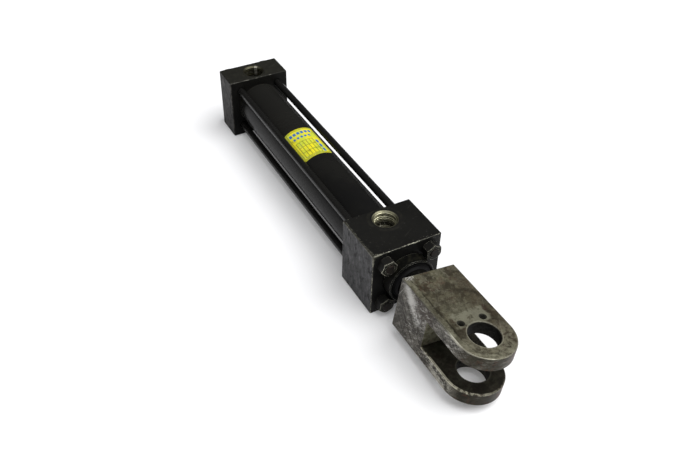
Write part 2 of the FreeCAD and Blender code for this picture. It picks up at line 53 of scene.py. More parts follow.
# ------------------------------------------------------------- node helpers
class Tree:
    """Small wrapper that keeps shader graphs readable."""

    def __init__(self, name):
        self.mat = bpy.data.materials.new(name)
        self.mat.use_nodes = True
        self.t = self.mat.node_tree
        self.t.nodes.clear()
        self.out = self.n("ShaderNodeOutputMaterial")
        self.bsdf = self.n("ShaderNodeBsdfPrincipled")
        self.link(self.bsdf.outputs["BSDF"], self.out.inputs["Surface"])
        self.coord = self.n("ShaderNodeTexCoord").outputs["Object"]

    def n(self, kind, **props):
        node = self.t.nodes.new(kind)
        for k, v in props.items():
            setattr(node, k, v)
        return node

    def link(self, a, b):
        self.t.links.new(a, b)

    def put(self, socket, value):
        if isinstance(value, bpy.types.NodeSocket):
            self.link(value, socket)
        else:
            socket.default_value = value

    def math(self, op, a, b=0.0, c=None, clamp=False):
        node = self.n("ShaderNodeMath", operation=op, use_clamp=clamp)
        self.put(node.inputs[0], a)
        self.put(node.inputs[1], b)
        if c is not None:
            self.put(node.inputs[2], c)
        return node.outputs[0]

    def add(self, a, b): return self.math("ADD", a, b)
    def sub(self, a, b): return self.math("SUBTRACT", a, b)
    def mul(self, a, b): return self.math("MULTIPLY", a, b)
    def mx(self, a, b): return self.math("MAXIMUM", a, b)
    def mn(self, a, b): return self.math("MINIMUM", a, b)
    def ab(self, a): return self.math("ABSOLUTE", a)
    def inv(self, a): return self.math("SUBTRACT", 1.0, a)

    def step(self, x, lo, hi):
        """0 at lo, 1 at hi, smooth between; hi may be below lo."""
        flip = hi < lo
        node = self.n("ShaderNodeMapRange", interpolation_type="SMOOTHSTEP")
        self.put(node.inputs["Value"], x)
        node.inputs["From Min"].default_value = hi if flip else lo
        node.inputs["From Max"].default_value = lo if flip else hi
        node.inputs["To Min"].default_value = 1.0 if flip else 0.0
        node.inputs["To Max"].default_value = 0.0 if flip else 1.0
        return node.outputs[0]

    def xyz(self, v=None):
        node = self.n("ShaderNodeSeparateXYZ")
        self.link(v or self.coord, node.inputs[0])
        return node.outputs[0], node.outputs[1], node.outputs[2]

    def vec(self, x, y, z):
        node = self.n("ShaderNodeCombineXYZ")
        for i, v in enumerate((x, y, z)):
            self.put(node.inputs[i], v)
        return node.outputs[0]

    def place(self, shift=(0, 0, 0), turn=(0, 0, 0), scale=(1, 1, 1), v=None):
        """Coordinates moved by shift, then turned, then scaled."""
        a = self.n("ShaderNodeVectorMath", operation="ADD")
        self.link(v or self.coord, a.inputs[0])
        a.inputs[1].default_value = shift
        m = self.n("ShaderNodeMapping", vector_type="POINT")
        self.link(a.outputs[0], m.inputs["Vector"])
        m.inputs["Rotation"].default_value = turn
        s = self.n("ShaderNodeVectorMath", operation="MULTIPLY")
        self.link(m.outputs[0], s.inputs[0])
        s.inputs[1].default_value = scale
        return s.outputs[0]

    def noise(self, scale, detail=4.0, rough=0.55, v=None, distort=0.0, w=None):
        node = self.n("ShaderNodeTexNoise")
        if w is not None:
            node.noise_dimensions = "4D"
            node.inputs["W"].default_value = w
        self.link(v or self.coord, node.inputs["Vector"])
        node.inputs["Scale"].default_value = scale
        node.inputs["Detail"].default_value = detail
        node.inputs["Roughness"].default_value = rough
        node.inputs["Distortion"].default_value = distort
        return node.outputs[0]

    def voronoi(self, scale, v=None, feature="F1", rand=1.0):
        node = self.n("ShaderNodeTexVoronoi", feature=feature)
        self.link(v or self.coord, node.inputs["Vector"])
        node.inputs["Scale"].default_value = scale
        node.inputs["Randomness"].default_value = rand
        return node.outputs["Distance"]

    def mix(self, fac, a, b):
        """Colours a to b by fac."""
        node = self.n("ShaderNodeMix", data_type="RGBA")
        self.put(node.inputs[0], fac)
        for i, v in ((6, a), (7, b)):
            if isinstance(v, bpy.types.NodeSocket):
                self.link(v, node.inputs[i])
            else:
                node.inputs[i].default_value = (*v, 1.0) if len(v) == 3 else v
        return node.outputs[2]

    def fmix(self, fac, a, b):
        """Numbers a to b by fac."""
        node = self.n("ShaderNodeMix", data_type="FLOAT")
        self.put(node.inputs[0], fac)
        self.put(node.inputs[2], a)
        self.put(node.inputs[3], b)
        return node.outputs[0]

    def bump(self, height, distance, strength=1.0, below=None):
        node = self.n("ShaderNodeBump")
        node.inputs["Distance"].default_value = distance
        node.inputs["Strength"].default_value = strength
        self.link(height, node.inputs["Height"])
        if below is not None:
            self.link(below, node.inputs["Normal"])
        return node.outputs[0]

    def corner(self, radius, samples=6):
        """0 on flat faces, towards 1 where the surface turns within radius."""
        b = self.n("ShaderNodeBevel", samples=samples)
        b.inputs["Radius"].default_value = radius
        g = self.n("ShaderNodeNewGeometry")
        d = self.n("ShaderNodeVectorMath", operation="DOT_PRODUCT")
        self.link(b.outputs[0], d.inputs[0])
        self.link(g.outputs["Normal"], d.inputs[1])
        return self.math("SUBTRACT", 1.0, d.outputs["Value"], clamp=True)

    def normal(self):
        """The surface's own normal, in the row frame."""
        node = self.n("ShaderNodeTexCoord")
        return self.xyz(node.outputs["Normal"])

    def surface(self, color, rough, metal=None, normal=None, **fixed):
        i = self.bsdf.inputs
        for sock, v in (("Base Color", color), ("Roughness", rough), ("Metallic", metal), ("Normal", normal)):
            if v is None:
                continue
            if isinstance(v, bpy.types.NodeSocket):
                self.link(v, i[sock])
            else:
                i[sock].default_value = (*v, 1.0) if isinstance(v, tuple) and len(v) == 3 else v
        for k, v in fixed.items():
            i[k.replace("_", " ")].default_value = v
        return self.mat


def assign(mat, *names):
    for name in names:
        o = NODES[name]
        o.data.materials.clear()
        o.data.materials.append(mat)


# ------------------------------------------------------------ block paint
def block_paint(name, x0, x1, port_x, seed, bare_tone, thread_tone, worn_corner, gloss, tint, dust, flank_painted_sheen):
    """Black enamel on a square end block: rubbed edges, chips, a fitting's print, bare port threads."""
    t = Tree(name)
    x, y, z = t.xyz()
    nx, ny, nz = t.normal()
    cx, hx = (x0 + x1) / 2, (x1 - x0) / 2
    dx = t.sub(hx, t.ab(t.sub(x, cx)))
    dy = t.sub(SIDE / 2, t.ab(y))
    dz = t.sub(SIDE / 2, t.ab(t.sub(z, AXIS_Z)))
    # distance to the nearest edge is the second smallest of the three
    edge = t.mx(t.mn(dx, dy), t.mn(t.mx(dx, dy), dz))
    big = t.noise(55.0, 5, 0.6, w=seed)
    mid = t.noise(320.0, 5, 0.65, w=seed + 3.1)
    fine = t.noise(1900.0, 3, 0.6, w=seed + 7.7)
    # rubbed metal along the edges; its width wanders, and one corner and one long edge have had more knocks
    corner = t.math("SQRT", t.add(t.math("POWER", t.sub(x, x1), 2.0), t.add(
        t.math("POWER", t.add(y, SIDE / 2), 2.0), t.math("POWER", t.sub(z, AXIS_Z + SIDE / 2), 2.0))))
    knocked = t.mul(t.step(corner, 0.012, 0.002), worn_corner)
    long_edge = t.mul(t.mul(t.step(y, -0.024, -0.031), t.step(z, AXIS_Z + 0.022, AXIS_Z + 0.030)), worn_corner)
    width = t.add(t.add(0.00044, t.mul(t.step(big, 0.36, 0.72), 0.0005)),
                  t.add(t.mul(knocked, 0.0017), t.mul(long_edge, 0.0009)))
    ragged = t.add(edge, t.add(t.mul(t.sub(mid, 0.5), 0.0022), t.mul(t.mul(t.sub(fine, 0.5), 0.006), t.mx(knocked, long_edge))))
    rub = t.math("SUBTRACT", 1.0, t.math("DIVIDE", ragged, width), clamp=True)
    rub = t.step(rub, 0.02, 0.55)
    # the thin chamfer itself is nearly always through to metal
    rub = t.mx(rub, t.mul(t.step(edge, 0.00052, 0.00030), t.step(mid, 0.30, 0.44)))
    # chips gather near the edges
    chips = t.step(t.voronoi(420.0), 0.17, 0.09)
    near_edge = t.step(edge, 0.0075, 0.0006)
    chip = t.mul(chips, t.step(t.add(t.mul(near_edge, 0.42), t.mul(big, 0.5)), 0.50, 0.60))
    # inside the port the thread is bare: bright crests and oily roots; further down it is painted dark as shade, with
    # painted glints
    pr = t.math("SQRT", t.add(t.math("POWER", t.sub(x, port_x), 2.0), t.math("POWER", y, 2.0)))
    port = t.mul(t.step(pr, 0.01128, 0.01108), t.step(z, AXIS_Z + 0.004, AXIS_Z + 0.008))
    root = t.mul(t.step(pr, 0.00945, 0.01010), t.step(z, AXIS_Z + 0.0314, AXIS_Z + 0.0310))
    bare = t.mx(t.mx(rub, chip), port)
    # scuffs: long marks down the upright sides, and wider rubbed patches
    side = t.step(t.ab(ny), 0.6, 0.9)
    streak = t.noise(1.0, 7, 0.72, v=t.place(turn=(0.0, 0.10, 0.0), scale=(430.0, 60.0, 70.0)), w=seed)
    patchy = t.noise(1.0, 7, 0.72, v=t.place(turn=(0.0, -0.35, 0.0), scale=(150.0, 60.0, 95.0)), w=seed)
    hair = t.noise(1.0, 4, 0.6, v=t.place(turn=(0.3, -0.5, 0.4), scale=(38.0, 38.0, 1500.0)))
    scuff = t.mul(side, t.step(streak, 0.50, 0.64))
    rubbed = t.mul(side, t.step(patchy, 0.50, 0.62))
    dull = t.mul(side, t.step(patchy, 0.48, 0.38))
    speck = t.mul(side, t.step(t.noise(620.0, 4, 0.7, w=seed), 0.62, 0.70))
    scratch = t.mul(t.step(hair, 0.66, 0.72), t.step(big, 0.42, 0.6))
    # light rubs on top towards the knocked corner
    top = t.step(nz, 0.6, 0.9)
    top_rub = t.mul(t.mul(top, t.step(t.noise(300.0, 6, 0.74, w=seed + 2.2), 0.56, 0.66)),
                    t.fmix(t.step(corner, 0.034, 0.010), 0.16, 1.0))
    # a fitting's washer has left a print round the port
    ring = t.mul(t.step(pr, 0.0124, 0.0131), t.step(pr, 0.0158, 0.0150))
    ring = t.mul(ring, t.mul(top, t.step(mid, 0.38, 0.62)))
    dirt = t.step(t.noise(28.0, 6, 0.62, w=seed + 1.7), 0.35, 0.7)
    paint = t.mix(dirt, (0.0046, 0.0046, 0.0047), (0.0086, 0.0083, 0.0070))
    paint = t.mix(t.mul(fine, 0.35), paint, (0.014, 0.014, 0.0125))
    paint = t.mix(t.mul(top, t.fmix(t.step(mid, 0.40, 0.60), 0.50, 0.95)), paint, dust)
    # painted reflection: the upright flanks are painted lighter than the rest, as the light they mirror
    paint = t.mix(t.mul(side, t.fmix(dirt, 0.32, 0.95)), paint, flank_painted_sheen)
    paint = t.mix(t.mul(rubbed, 0.78), paint, tint)
    paint = t.mix(t.mul(scuff, 0.84), paint, tuple(c * 2.0 for c in tint))
    gouge = t.mul(side, t.step(t.noise(1.0, 6, 0.70, v=t.place(turn=(0.0, 0.06, 0.0), scale=(560.0, 60.0, 46.0)), w=seed + 11.0), 0.55, 0.62))
    paint = t.mix(t.mul(gouge, 0.70), paint, (0.0062, 0.0060, 0.0060))
    paint = t.mix(t.mul(dull, 0.74), paint, (0.0048, 0.0046, 0.0046))
    paint = t.mix(t.mul(speck, 0.45), paint, (0.13, 0.125, 0.12))
    paint = t.mix(t.mul(scratch, 0.35), paint, (0.085, 0.083, 0.075))
    paint = t.mix(t.mul(top_rub, 0.50), paint, (0.040, 0.040, 0.033))
    paint = t.mix(t.mul(top, t.mul(t.step(t.noise(520.0, 3, 0.6, w=seed + 5.0), 0.64, 0.70), 0.40)), paint, (0.060, 0.060, 0.056))
    paint = t.mix(t.mul(ring, 0.50), paint, (0.022, 0.021, 0.016))
    metal = t.mix(t.step(mid, 0.4, 0.62), bare_tone, tuple(c * 0.40 for c in bare_tone))
    metal = t.mix(t.mul(t.mx(knocked, t.mul(long_edge, 0.7)), t.step(fine, 0.36, 0.56)), metal, tuple(c * 0.28 for c in bare_tone))
    thread = t.mix(t.step(mid, 0.42, 0.6), thread_tone, tuple(c * 0.45 for c in thread_tone))
    thread = t.mix(t.mul(root, 0.88), thread, (0.030, 0.027, 0.016))
    # dark bands painted across the thread, 3.2 mm apart: painted shade of its turns
    painted_turn_shade = t.math("SINE", t.add(t.mul(t.sub(z, AXIS_Z + 0.0300), 2 * math.pi / 0.0032), t.mul(t.sub(mid, 0.5), 1.4)))
    thread = t.mix(t.mul(t.step(painted_turn_shade, 0.25, -0.35), t.mul(t.step(z, AXIS_Z + 0.0314, AXIS_Z + 0.0306), 0.84)), thread, (0.046, 0.043, 0.022))
    rim = 0.22 + 0.92 * worn_corner
    thread = t.mix(t.mul(t.step(z, AXIS_Z + 0.0304, AXIS_Z + 0.0310), 0.80 + 0.12 * (1.0 - worn_corner)), thread, (0.105 * rim, 0.100 * rim, 0.064 * rim))
    deep_painted_shade = t.step(z, AXIS_Z + 0.0240, AXIS_Z + 0.0218)
    # a painted highlight: a bright glint painted as a streak down the rear port's far wall
    facing = t.math("DIVIDE", t.add(t.mul(t.sub(x, port_x), -0.80), t.mul(y, 0.60)), t.mx(pr, 0.001))
    painted_glint_streak = t.mul(t.step(facing, 0.982, 0.996), t.mul(t.step(z, AXIS_Z + 0.018, AXIS_Z + 0.022), 1.0 - worn_corner))
    thread = t.mix(t.mul(painted_glint_streak, 0.85), thread, (0.40, 0.39, 0.33))
    # deeper in the port the thread is painted near black as painted shade, with small painted glints scattered on it
    glint = t.step(t.noise(900.0, 3, 0.6, w=seed), 0.60, 0.68)
    thread = t.mix(t.mul(deep_painted_shade, 0.93), thread, t.mix(glint, (0.012, 0.011, 0.008), (0.30, 0.29, 0.25)))
    metal = t.mix(port, metal, thread)
    color = t.mix(bare, paint, metal)
    rough = t.fmix(dirt, 0.40, 0.52)
    rough = t.add(rough, t.mul(t.sub(mid, 0.5), 0.20))
    rough = t.add(rough, t.mul(dull, 0.16))
    rough = t.sub(rough, t.mul(rubbed, 0.06))
    rough = t.fmix(bare, rough, t.fmix(mid, 0.34, 0.52))
    # height: paint film over metal, orange peel, sawing marks under it
    film = t.inv(t.mx(rub, chip))
    peel = t.noise(700.0, 2, 0.5, w=seed)
    marks = t.noise(1.0, 2, 0.5, v=t.place(scale=(1400.0, 30.0, 30.0)))
    h = t.add(t.mul(film, 0.6), t.add(t.mul(peel, 0.22), t.mul(marks, t.mul(side, 0.18))))
    h = t.sub(h, t.add(t.mul(scratch, 0.25), t.mul(t.mul(scuff, 0.15), side)))
    h = t.add(h, t.mul(fine, 0.06))
    return t.surface(color, rough, t.mul(bare, 0.92), t.bump(h, 0.00009, 0.55), IOR=1.5, Specular_IOR_Level=gloss)


# --------------------------------------------------------------- tube paint
def tube_paint():
    t = Tree("tube_black")
    x, y, z = t.xyz()
    big = t.noise(22.0, 5, 0.6, w=2.0)
    mid = t.noise(260.0, 5, 0.62, w=5.0)
    fine = t.noise(2300.0, 3, 0.6)
    along = t.noise(1.0, 5, 0.6, v=t.place(scale=(9.0, 620.0, 620.0)))
    rings = t.noise(1.0, 3, 0.6, v=t.place(scale=(1500.0, 14.0, 14.0)))
    scratch = t.mul(t.step(along, 0.66, 0.73), t.step(big, 0.45, 0.62))
    hair = t.noise(1.0, 4, 0.6, v=t.place(turn=(0.2, 0.1, 0.5), scale=(60.0, 1500.0, 240.0)))
    hair = t.mul(t.step(hair, 0.66, 0.72), t.step(t.noise(34.0, 3, 0.6, w=7.0), 0.52, 0.62))
    nick = t.mul(t.step(t.voronoi(260.0), 0.10, 0.05), t.step(t.noise(40.0, 3, 0.5, w=9.0), 0.60, 0.68))
    ends = t.mx(t.step(x, tube_lo.x + 0.0035, tube_lo.x + 0.0008), t.step(x, tube_hi.x - 0.0035, tube_hi.x - 0.0008))
    grime = t.mul(ends, t.step(mid, 0.35, 0.6))
    dirt = t.step(big, 0.36, 0.68)
    c = t.mix(dirt, (0.0062, 0.0062, 0.0062), (0.0104, 0.0101, 0.0090))
    c = t.mix(t.mul(fine, 0.3), c, (0.014, 0.014, 0.013))
    c = t.mix(t.mul(scratch, 0.5), c, (0.040, 0.039, 0.036))
    c = t.mix(t.mul(hair, 0.45), c, (0.060, 0.060, 0.055))
    c = t.mix(t.mul(grime, 0.55), c, (0.016, 0.014, 0.010))
    c = t.mix(nick, c, (0.14, 0.135, 0.115))
    nx, ny, nz = t.normal()
    c = t.mix(t.mul(t.step(nz, 0.45, 0.95), t.mul(t.step(x, HEAD_X0 - 0.060, CAP_X1 + 0.050), 0.55)), c, (0.0150, 0.0146, 0.0128))
    r = t.fmix(dirt, 0.20, 0.30)
    r = t.add(r, t.mul(t.sub(mid, 0.5), 0.10))
    r = t.fmix(t.step(ny, 0.40, 0.78), r, 0.95)
    r = t.add(r, t.mul(grime, 0.2))
    h = t.add(t.mul(t.noise(620.0, 2, 0.5), 0.35), t.mul(rings, 0.12))
    h = t.sub(h, t.add(t.mul(scratch, 0.35), t.mul(nick, 0.6)))
    return t.surface(c, r, t.mul(nick, 0.8), t.bump(h, 0.00006, 0.5), IOR=1.5, Specular_IOR_Level=0.062)


def tie_rod_paint():
    t = Tree("tie_rod_black")
    x, y, z = t.xyz()
    big = t.noise(30.0, 4, 0.6, w=4.0)
    mid = t.noise(400.0, 5, 0.62, w=1.0)
    fine = t.noise(2600.0, 3, 0.6)
    along = t.noise(1.0, 5, 0.6, v=t.place(scale=(14.0, 1300.0, 1300.0)))
    scratch = t.mul(t.step(along, 0.63, 0.71), t.step(big, 0.40, 0.6))
    stud = t.mx(t.step(x, HEAD_X1 + 0.0072, HEAD_X1 + 0.0079), t.step(x, CAP_X0 - 0.0072, CAP_X0 - 0.0079))
    wear = t.mul(stud, t.step(mid, 0.50, 0.66))
    c = t.mix(big, (0.0050, 0.0050, 0.0051), (0.0095, 0.0090, 0.0078))
    c = t.mix(t.mul(fine, 0.3), c, (0.015, 0.015, 0.014))
    c = t.mix(t.mul(scratch, 0.5), c, (0.050, 0.049, 0.046))
    c = t.mix(t.mul(wear, 0.35), c, (0.034, 0.029, 0.020))
    tip = t.mx(t.step(x, HEAD_X1 + 0.0079, HEAD_X1 + 0.0082), t.step(x, CAP_X0 - 0.0079, CAP_X0 - 0.0082))
    c = t.mix(t.mul(tip, 0.85), c, t.mix(t.step(mid, 0.42, 0.60), (0.0055, 0.0048, 0.0040), (0.0200, 0.0140, 0.0100)))
    r = t.add(t.fmix(big, 0.20, 0.32), t.mul(t.sub(mid, 0.5), 0.14))
    r = t.fmix(tip, t.add(r, t.mul(wear, 0.18)), 0.66)
    h = t.add(t.mul(t.noise(900.0, 2, 0.5), 0.3), t.mul(fine, 0.12))
    h = t.sub(h, t.mul(scratch, 0.3))
    return t.surface(c, r, t.mul(wear, 0.5), t.bump(h, 0.00005, 0.5), IOR=1.5, Specular_IOR_Level=0.22)


def nut_steel():
    t = Tree("nut_black")
    corner = t.corner(0.0010)
    mid = t.noise(520.0, 5, 0.62, w=3.0)
    big = t.noise(70.0, 3, 0.6, w=8.0)
    fine = t.noise(2600.0, 3, 0.6)
    x, y, z = t.xyz()
    # spanners have rubbed the edges of the outer faces more than the rest
    face = t.mx(t.step(x, HEAD_X1 + 0.0068, HEAD_X1 + 0.0074), t.step(x, CAP_X0 - 0.0068, CAP_X0 - 0.0074))
    worn = t.step(t.add(corner, t.add(t.mul(t.sub(mid, 0.5), 0.20), t.mul(face, 0.05))), 0.10, 0.18)
    worn = t.mul(worn, t.mx(t.mul(face, t.step(big, 0.24, 0.40)), t.mul(t.step(big, 0.46, 0.60), 0.5)))
    used = t.mul(t.step(y, 0.004, -0.004), t.step(z, AXIS_Z - 0.004, AXIS_Z + 0.004))
    worn = t.mul(worn, t.fmix(used, 0.55, 1.0))
    brown = t.step(t.noise(240.0, 4, 0.6, w=6.0), 0.50, 0.70)
    c = t.mix(mid, (0.0028, 0.0028, 0.0026), (0.0066, 0.0062, 0.0048))
    c = t.mix(t.mul(brown, 0.4), c, (0.0085, 0.0070, 0.0045))
    c = t.mix(t.mul(face, 0.75), c, t.mix(t.step(mid, 0.40, 0.60), (0.0085, 0.0084, 0.0066), (0.0230, 0.0225, 0.0170)))
    rubs = t.mul(face, t.step(t.noise(760.0, 5, 0.7, w=14.0), 0.56, 0.64))
    c = t.mix(t.mul(rubs, 0.55), c, (0.105, 0.102, 0.080))
    c = t.mix(worn, c, (0.66, 0.645, 0.52))
    r = t.fmix(worn, t.add(0.48, t.mul(mid, 0.2)), 0.34)
    h = t.add(t.mul(mid, 0.4), t.mul(fine, 0.25))
    return t.surface(c, r, t.mul(worn, 0.45), t.bump(h, 0.00006, 0.6), IOR=1.5, Specular_IOR_Level=0.15)


def gland_iron():
    t = Tree("gland_black_iron")
    x, y, z = t.xyz()
    r0 = t.math("SQRT", t.add(t.math("POWER", y, 2.0), t.math("POWER", t.sub(z, AXIS_Z), 2.0)))
    corner = t.corner(0.0008)
    mid = t.noise(420.0, 5, 0.62, w=2.4)
    big = t.noise(60.0, 3, 0.6, w=1.4)
    turned = t.noise(1.0, 2, 0.5, v=t.vec(t.mul(x, 2600.0), t.mul(r0, 2600.0), 0.0))
    worn = t.step(t.add(corner, t.mul(t.sub(mid, 0.5), 0.18)), 0.07, 0.16)
    worn = t.mul(worn, t.step(big, 0.12, 0.34))
    outer = t.step(r0, 0.0199, 0.0202)
    worn = t.mul(worn, t.fmix(outer, 0.06, 0.9))
    c = t.mix(mid, (0.0038, 0.0038, 0.0038), (0.0078, 0.0074, 0.0056))
    c = t.mix(t.step(z, AXIS_Z + 0.004, AXIS_Z + 0.018), c, t.mix(t.step(t.noise(260.0, 5, 0.7, w=5.0), 0.44, 0.58), (0.0022, 0.0022, 0.0019), (0.0092, 0.0088, 0.0058)))
    # painted shade: inside the outer chamfer the front face is painted near black, where it looks onto the clevis
    face = t.step(r0, 0.0202, 0.0200)
    c = t.mix(face, c, (0.0014, 0.0014, 0.0014))
    c = t.mix(worn, c, (0.25, 0.25, 0.215))
    r = t.fmix(worn, t.fmix(face, t.add(0.40, t.mul(mid, 0.16)), 0.80), 0.38)
    h = t.add(t.mul(turned, 0.5), t.mul(mid, 0.3))
    return t.surface(c, r, t.mul(worn, 0.9), t.bump(h, 0.00004, 0.5), IOR=1.5, Specular_IOR_Level=0.06)


def rod_chrome():
    t = Tree("hard_chrome")
    x, y, z = t.xyz()
    r0 = t.math("SQRT", t.add(t.math("POWER", y, 2.0), t.math("POWER", t.sub(z, AXIS_Z), 2.0)))
    rings = t.noise(1.0, 4, 0.6, v=t.place(scale=(5200.0, 30.0, 30.0)))
    along = t.noise(1.0, 5, 0.6, v=t.place(scale=(12.0, 1500.0, 1500.0)))
    big = t.noise(48.0, 4, 0.6, w=3.3)
    film = t.step(t.noise(120.0, 5, 0.6, w=1.1), 0.45, 0.75)
    scratch = t.mul(t.step(along, 0.66, 0.72), t.step(big, 0.46, 0.6))
    off = t.step(r0, 0.01385, 0.01345)            # thread, shoulder and flats are not plated
    c = t.mix(film, (0.80, 0.81, 0.83), (0.68, 0.67, 0.65))
    c = t.mix(off, c, t.mix(big, (0.24, 0.22, 0.19), (0.12, 0.105, 0.08)))
    r = t.add(0.13, t.mul(rings, 0.09))
    r = t.add(r, t.mul(film, 0.07))
    r = t.add(r, t.mul(scratch, 0.2))
    r = t.fmix(off, r, 0.38)
    # the last stretch before the clevis never reaches the wiper; it is painted near black and dull, as painted shade
    # and a painted reflection of the dark head and clevis
    painted_dark_stretch = t.step(t.add(x, t.mul(t.sub(big, 0.5), 0.006)), 0.1135, 0.1165)
    painted_dark_stretch = t.mul(painted_dark_stretch, t.fmix(t.step(t.noise(700.0, 4, 0.65, w=9.0), 0.66, 0.72), 1.0, 0.35))
    c = t.mix(painted_dark_stretch, c, t.mix(film, (0.0026, 0.0025, 0.0021), (0.0060, 0.0056, 0.0042)))
    r = t.fmix(painted_dark_stretch, r, 0.66)
    metal = t.fmix(painted_dark_stretch, t.fmix(off, 0.80, 0.95), 0.0)
    h = t.add(t.sub(t.mul(rings, 0.25), t.mul(scratch, 0.5)), t.mul(painted_dark_stretch, t.mul(film, 0.6)))
    return t.surface(c, r, metal, t.bump(h, 0.00001, 0.4), Specular_IOR_Level=0.03)


def clevis_steel():
    """Bare machined steel: olive-brown patina on the flat faces, scuffed grey sides, rubbed edges, black bores."""
    t = Tree("clevis_bare_steel")
    v = t.place(shift=(-PIN_X, 0.0, -AXIS_Z), turn=(-ROLL, 0.0, 0.0))
    x, y, z = t.xyz(v)                                   # pin centre at 0, ears at +z and -z
    tn = t.n("ShaderNodeTexCoord").outputs["Normal"]
    nx, ny, nz = t.xyz(t.place(turn=(-ROLL, 0.0, 0.0), v=tn))
    rxy = t.math("SQRT", t.add(t.math("POWER", x, 2.0), t.math("POWER", y, 2.0)))
    over = t.mx(x, 0.0)
    d_out = t.sub(CLEV_H, t.math("SQRT", t.add(t.math("POWER", over, 2.0), t.math("POWER", y, 2.0))))
    d_z = t.sub(CLEV_H, t.ab(z))
    d_back = t.add(x, PIN_X - CLEV_X0)
    edge = t.mx(t.mn(d_out, d_z), t.mn(t.mx(d_out, d_z), d_back))
    d_slot = t.sub(t.ab(z), 0.0125)
    flat = t.step(t.ab(nz), 0.55, 0.85)                  # the ears' broad faces
    upright = t.inv(flat)
    big = t.noise(38.0, 5, 0.62, v=v, distort=0.4)
    big2 = t.noise(62.0, 5, 0.62, v=v, w=6.0)
    mid = t.noise(210.0, 6, 0.66, v=v, w=2.0)
    fine = t.noise(900.0, 4, 0.62, v=v)
    grit = t.noise(3200.0, 2, 0.6, v=v)
    # broad faces: olive patina, worn through in patches, with brown-red bloom and dark stains
    n8 = t.noise(115.0, 8, 0.74, v=v, w=1.0)
    n8b = t.noise(80.0, 8, 0.74, v=v, w=6.0)
    n8c = t.noise(150.0, 8, 0.76, v=v, w=12.0)
    olive = t.mix(t.step(mid, 0.40, 0.60), (0.096, 0.089, 0.056), (0.046, 0.041, 0.026))
    pale = t.mix(t.step(fine, 0.40, 0.60), (0.200, 0.190, 0.142), (0.120, 0.112, 0.080))
    through = t.step(t.add(n8, t.mul(t.sub(big, 0.5), 0.35)), 0.50, 0.60)
    face = t.mix(t.mul(through, 0.88), olive, pale)
    brown = t.mix(t.step(fine, 0.4, 0.62), (0.066, 0.036, 0.023), (0.030, 0.019, 0.013))
    red = t.step(t.add(n8b, t.mul(t.sub(big2, 0.5), 0.35)), 0.515, 0.585)
    face = t.mix(t.mul(red, 0.80), face, brown)
    stain = t.step(n8c, 0.54, 0.62)
    face = t.mix(t.mul(stain, 0.74), face, (0.024, 0.022, 0.014))
    n9 = t.noise(290.0, 7, 0.76, v=v, w=21.0)
    n9b = t.noise(340.0, 7, 0.76, v=v, w=27.0)
    face = t.mix(t.mul(t.step(n9, 0.52, 0.58), 0.50), face, (0.026, 0.023, 0.015))
    face = t.mix(t.mul(t.step(n9b, 0.53, 0.59), 0.42), face, (0.225, 0.215, 0.160))
    # broad light and dark over the whole face
    broad = t.noise(19.0, 3, 0.5, v=v, w=4.0)
    face = t.mix(t.mul(t.step(t.add(broad, t.mul(t.sub(n8, 0.5), 0.4)), 0.50, 0.62), 0.40), face, t.mix(t.step(n8b, 0.44, 0.56), (0.052, 0.042, 0.027), (0.013, 0.010, 0.007)))
    pale_b = t.step(t.add(t.noise(27.0, 3, 0.5, v=v, w=15.0), t.mul(t.sub(n8c, 0.5), 0.5)), 0.54, 0.64)
    face = t.mix(t.mul(pale_b, 0.12), face, t.mix(t.step(n9, 0.44, 0.56), (0.200, 0.190, 0.140), (0.090, 0.083, 0.056)))
    pa = t.noise(88.0, 3, 0.55, v=v, w=31.0, distort=0.5)
    face = t.mix(t.mul(t.step(pa, 0.53, 0.59), 0.64), face, (0.024, 0.019, 0.012))
    face = t.mix(t.mul(t.step(pa, 0.46, 0.40), 0.22), face, (0.170, 0.160, 0.108))
    far = t.step(t.add(y, t.mul(t.sub(n8b, 0.5), 0.020)), 0.006, 0.017)
    face = t.mix(t.mul(far, 0.36), face, t.mix(t.step(n8c, 0.44, 0.56), (0.066, 0.048, 0.033), (0.020, 0.015, 0.010)))
    gx = t.sub(x, KEEP_X - PIN_X - 0.0125)
    gy = t.add(y, 0.0030)
    glow = t.math("SQRT", t.add(t.math("POWER", gx, 2.0), t.math("POWER", gy, 2.0)))
    glow = t.step(t.add(glow, t.mul(t.sub(n8, 0.5), 0.016)), 0.015, 0.005)
    face = t.mix(t.mul(glow, 0.42), face, t.mix(t.step(n8c, 0.44, 0.56), (0.230, 0.222, 0.158), (0.092, 0.088, 0.058)))
    face_s = t.step(t.noise(1.0, 5, 0.62, v=t.place(turn=(0.0, 0.0, 0.5), scale=(26.0, 760.0, 26.0), v=v)), 0.60, 0.70)
    face = t.mix(t.mul(face_s, 0.18), face, (0.24, 0.23, 0.175))
    # a strip beside the long edges is worn lighter, with a ragged dark line inside it
    d_rag = t.add(d_out, t.add(t.mul(t.sub(n8, 0.5), 0.0080), t.mul(t.sub(fine, 0.5), 0.0020)))
    worn_side = t.mul(t.mx(t.step(y, 0.004, -0.006), t.mul(t.step(x, 0.006, 0.016), t.step(y, 0.020, 0.008))), t.step(z, 0.0, 0.01))
    strip = t.mul(t.step(d_rag, 0.0052, 0.0042), worn_side)
    line = t.mul(t.mul(t.step(d_rag, 0.0043, 0.0048), t.step(d_rag, 0.0062, 0.0055)), worn_side)
    face = t.mix(t.mul(line, t.mul(t.step(n8c, 0.42, 0.50), 0.80)), face, (0.016, 0.014, 0.009))
    face = t.mix(t.mul(strip, t.fmix(t.step(n8b, 0.42, 0.56), 0.72, 0.25)), face, t.mix(t.step(n8c, 0.42, 0.56), (0.200, 0.194, 0.140), (0.078, 0.074, 0.050)))
